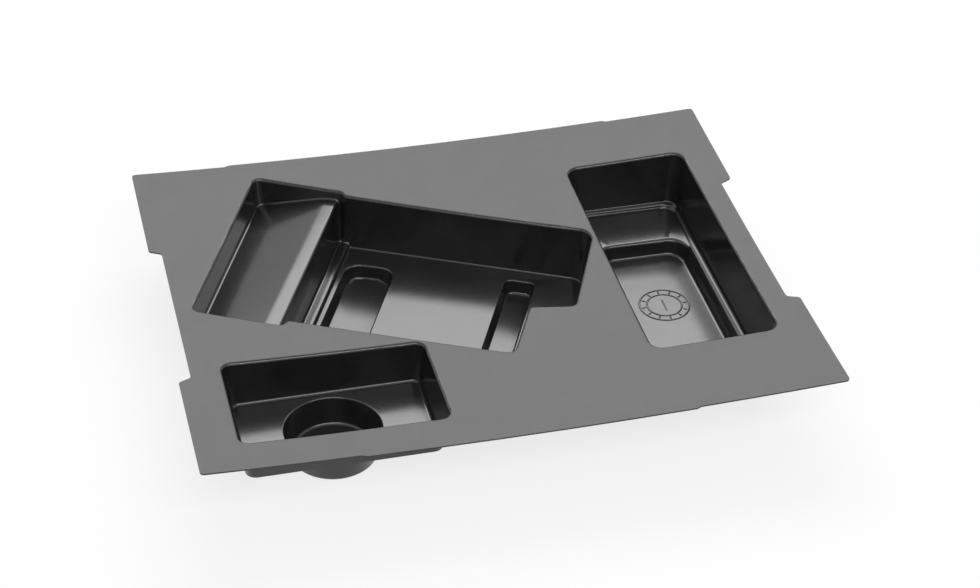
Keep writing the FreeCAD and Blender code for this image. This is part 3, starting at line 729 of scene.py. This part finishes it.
# %% Black sheet material
def black_sheet():
    """Black plastic: satin on the deck, shinier on the rims and in the pockets."""
    material = bpy.data.materials.new("black_sheet")
    material.use_nodes = True
    tree = material.node_tree
    tree.nodes.clear()
    point = add_node(tree, "ShaderNodeTexCoord", (-1700, 0))
    shader = add_node(tree, "ShaderNodeBsdfPrincipled", (300, 0))
    shader.inputs["IOR"].default_value = PLASTIC_IOR
    out = add_node(tree, "ShaderNodeOutputMaterial", (600, 0))
    tree.links.new(shader.outputs["BSDF"], out.inputs["Surface"])
    add_tint(tree, point, shader)
    depth = depth_under_deck(tree, point)
    add_gloss(tree, point, depth, shader)
    add_grain(tree, point, depth, shader)
    return material


sheet_material = black_sheet()
sheet_skin.data.materials.clear()
sheet_skin.data.materials.append(sheet_material)
print("material:", sheet_material.name)

# %% Make the dial
DIAL_CENTRE = Vector((mm(133), mm(8.5), mm(GAUGE)))
DIAL_SIZES = {
    "Outer Radius": mm(16.5),
    "Inner Radius": mm(11.5),
    "Line Width": mm(1.3),
    "Tick Length": mm(3.4),
    "Pointer Length": mm(14),
    "Tick Count": 12,
}
LINE_SINK = mm(0.15)


def make_dial():
    """The dial as a plain mesh, sunk a little more than half in the well's floor."""
    tree = dial_tree(sheet_material)
    carrier = bpy.data.objects.new("dial_carrier", bpy.data.meshes.new("dial_carrier"))
    bpy.context.collection.objects.link(carrier)
    maker = carrier.modifiers.new("dial", "NODES")
    maker.node_group = tree
    for name, value in DIAL_SIZES.items():
        maker[input_id(tree, name)] = value
    bpy.context.view_layer.update()
    dial = flattened(carrier, "floor_dial")
    for vertex in dial.data.vertices:
        vertex.co += DIAL_CENTRE - Vector((0, 0, LINE_SINK))
    for face in dial.data.polygons:
        face.use_smooth = True
    return dial


floor_dial = make_dial()
print("dial:", len(floor_dial.data.polygons), "faces")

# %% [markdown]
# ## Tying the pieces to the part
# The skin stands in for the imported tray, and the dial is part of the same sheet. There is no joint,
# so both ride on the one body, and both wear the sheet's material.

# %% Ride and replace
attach(sheet_skin, "root")
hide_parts("tray")
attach(floor_dial, "root")
print("riding on root:", sheet_skin.name, "and", floor_dial.name)

# %% [markdown]
# ## Floor and light
# The tray stands on a plain pale floor that fades into a white surround. Glossy black shows little
# of its own colour: what is seen is what it mirrors. So each lamp stands where the surfaces that
# should look bright mirror it. A broad soft box behind and above the tray gives the deck its even
# grey and the floors their bright front ends, and the walls of each pocket show as dark bands in
# those floors. A second, narrower one in front, above the camera, draws the thin bright lines on
# the rims and at the feet of the walls. The floor takes the tray's shadow, and it is clear from
# below, so that the underside can be looked at too.

# %% White surround
SURROUND_LIGHT = 0.38
SURROUND_SEEN = 1.0


def white_surround():
    """White to the eye and to reflections that leave the set, and a gentle fill for the rest."""
    world = bpy.data.worlds.new("surround")
    bpy.context.scene.world = world
    world.use_nodes = True
    tree = world.node_tree
    tree.nodes.clear()
    seen = add_node(tree, "ShaderNodeLightPath", (-800, 200))
    mirrored = add_node(tree, "ShaderNodeMath", (-600, 100), operation="MAXIMUM")
    tree.links.new(seen.outputs["Is Glossy Ray"], mirrored.inputs[0])
    tree.links.new(seen.outputs["Is Transmission Ray"], mirrored.inputs[1])
    either = add_node(tree, "ShaderNodeMath", (-450, 200), operation="MAXIMUM")
    tree.links.new(seen.outputs["Is Camera Ray"], either.inputs[0])
    tree.links.new(mirrored.outputs["Value"], either.inputs[1])
    level = add_node(tree, "ShaderNodeMapRange", (-300, 200))
    level.inputs["To Min"].default_value = SURROUND_LIGHT
    level.inputs["To Max"].default_value = SURROUND_SEEN
    tree.links.new(either.outputs["Value"], level.inputs["Value"])
    glow = add_node(tree, "ShaderNodeBackground", (0, 0))
    glow.inputs["Color"].default_value = (1, 1, 1, 1)
    tree.links.new(level.outputs["Result"], glow.inputs["Strength"])
    out = add_node(tree, "ShaderNodeOutputWorld", (250, 0))
    tree.links.new(glow.outputs["Background"], out.inputs["Surface"])


white_surround()
print("surround:", SURROUND_SEEN, "where seen or mirrored,", SURROUND_LIGHT, "as a fill")

# %% Floor material
FLOOR_COLOUR = (0.9, 0.9, 0.9, 1)
FLOOR_SHARE = 0.8


def pale_floor_material():
    """Part diffuse, which takes the shadow, part plain white where seen, clear from below."""
    material = bpy.data.materials.new("pale_floor")
    material.use_nodes = True
    tree = material.node_tree
    tree.nodes.clear()
    seen = add_node(tree, "ShaderNodeLightPath", (-600, 300))
    either = add_node(tree, "ShaderNodeMath", (-400, 300), operation="MAXIMUM")
    tree.links.new(seen.outputs["Is Camera Ray"], either.inputs[0])
    tree.links.new(seen.outputs["Is Glossy Ray"], either.inputs[1])
    share = add_node(tree, "ShaderNodeMath", (-200, 300), operation="MULTIPLY")
    share.inputs[1].default_value = FLOOR_SHARE
    tree.links.new(either.outputs[0], share.inputs[0])
    card = add_node(tree, "ShaderNodeBsdfDiffuse", (-200, 0))
    card.inputs["Color"].default_value = FLOOR_COLOUR
    white = add_node(tree, "ShaderNodeEmission", (-200, -200))
    mix = add_node(tree, "ShaderNodeMixShader", (50, 100))
    tree.links.new(share.outputs[0], mix.inputs["Fac"])
    tree.links.new(card.outputs["BSDF"], mix.inputs[1])
    tree.links.new(white.outputs["Emission"], mix.inputs[2])
    side = add_node(tree, "ShaderNodeNewGeometry", (50, 350))
    clear = add_node(tree, "ShaderNodeBsdfTransparent", (50, -100))
    from_below = add_node(tree, "ShaderNodeMixShader", (250, 100))
    tree.links.new(side.outputs["Backfacing"], from_below.inputs["Fac"])
    tree.links.new(mix.outputs["Shader"], from_below.inputs[1])
    tree.links.new(clear.outputs["BSDF"], from_below.inputs[2])
    out = add_node(tree, "ShaderNodeOutputMaterial", (450, 100))
    tree.links.new(from_below.outputs["Shader"], out.inputs["Surface"])
    return material


# %% Floor
FLOOR_REACH = 6.0
FLOOR_SQUARES = 8
FLOOR_GAP = mm(0.1)


def pale_floor():
    """A large level floor, just under the tray's feet, so that the two don't share a plane."""
    mesh = bpy.data.meshes.new("floor")
    grid = bmesh.new()
    bmesh.ops.create_grid(
        grid, x_segments=FLOOR_SQUARES, y_segments=FLOOR_SQUARES, size=FLOOR_REACH
    )
    bmesh.ops.translate(grid, verts=grid.verts, vec=(0, 0, -FLOOR_GAP))
    grid.to_mesh(mesh)
    grid.free()
    floor = bpy.data.objects.new("floor", mesh)
    bpy.context.collection.objects.link(floor)
    floor.data.materials.append(pale_floor_material())
    return floor


pale_floor()
print("floor:", 2 * FLOOR_REACH, "m across")


# %% Soft boxes
def soft_box(name, azimuth, elevation, distance, width, height, radiance):
    """An area lamp of a given brightness, turned towards the tray."""
    lamp = bpy.data.lights.new(name, "AREA")
    lamp.shape = "RECTANGLE"
    lamp.size = width
    lamp.size_y = height
    lamp.energy = radiance * math.pi * width * height
    box = bpy.data.objects.new(name, lamp)
    bpy.context.collection.objects.link(box)
    turn = math.radians(azimuth)
    rise = math.radians(elevation)
    away = Vector((math.sin(turn) * math.cos(rise), math.cos(turn) * math.cos(rise), math.sin(rise)))
    box.location = away * distance
    box.rotation_euler = away.to_track_quat("Z", "Y").to_euler()
    print(name + ":", round(lamp.energy, 1), "W")


soft_box("back_box", azimuth=13, elevation=47, distance=1.6, width=1.55, height=0.8, radiance=4.8)
soft_box("near_box", azimuth=180, elevation=48, distance=1.9, width=2.0, height=0.45, radiance=6.0)

# %% [markdown]
# ## Camera
# A long lens from about a metre and a half away keeps the tray's edges nearly parallel. It stands a
# little to the left, high enough to look into the pockets and low enough to see under the front
# edge, and it is rolled by about a degree. Its place is worked out on a sphere around its aim, so
# each of the three angles can be changed by itself.

# %% Camera
CAMERA_TURN = math.radians(-14.58)
CAMERA_RISE = math.radians(36.45)
CAMERA_ROLL = math.radians(1.179)
CAMERA_DISTANCE = 1.5144
AIM = Vector((mm(8.13), mm(-15.47), DECK_LEVEL))
LENS = 88.6
SENSOR_WIDTH = 36.0


def place_camera():
    """A camera on a sphere around its aim, rolled about its own axis."""
    data = bpy.data.cameras.new("view")
    data.lens = LENS
    data.sensor_width = SENSOR_WIDTH
    camera = bpy.data.objects.new("view", data)
    bpy.context.collection.objects.link(camera)
    flat = math.cos(CAMERA_RISE)
    back = Vector((math.sin(CAMERA_TURN) * flat, -math.cos(CAMERA_TURN) * flat, math.sin(CAMERA_RISE)))
    camera.location = AIM + back * CAMERA_DISTANCE
    look = back.to_track_quat("Z", "Y").to_matrix().to_4x4()
    camera.rotation_euler = (look @ look.Rotation(CAMERA_ROLL, 4, "Z")).to_euler()
    bpy.context.scene.camera = camera
    print("camera at", camera.location)


place_camera()
bpy.context.scene.view_settings.view_transform = "Standard"
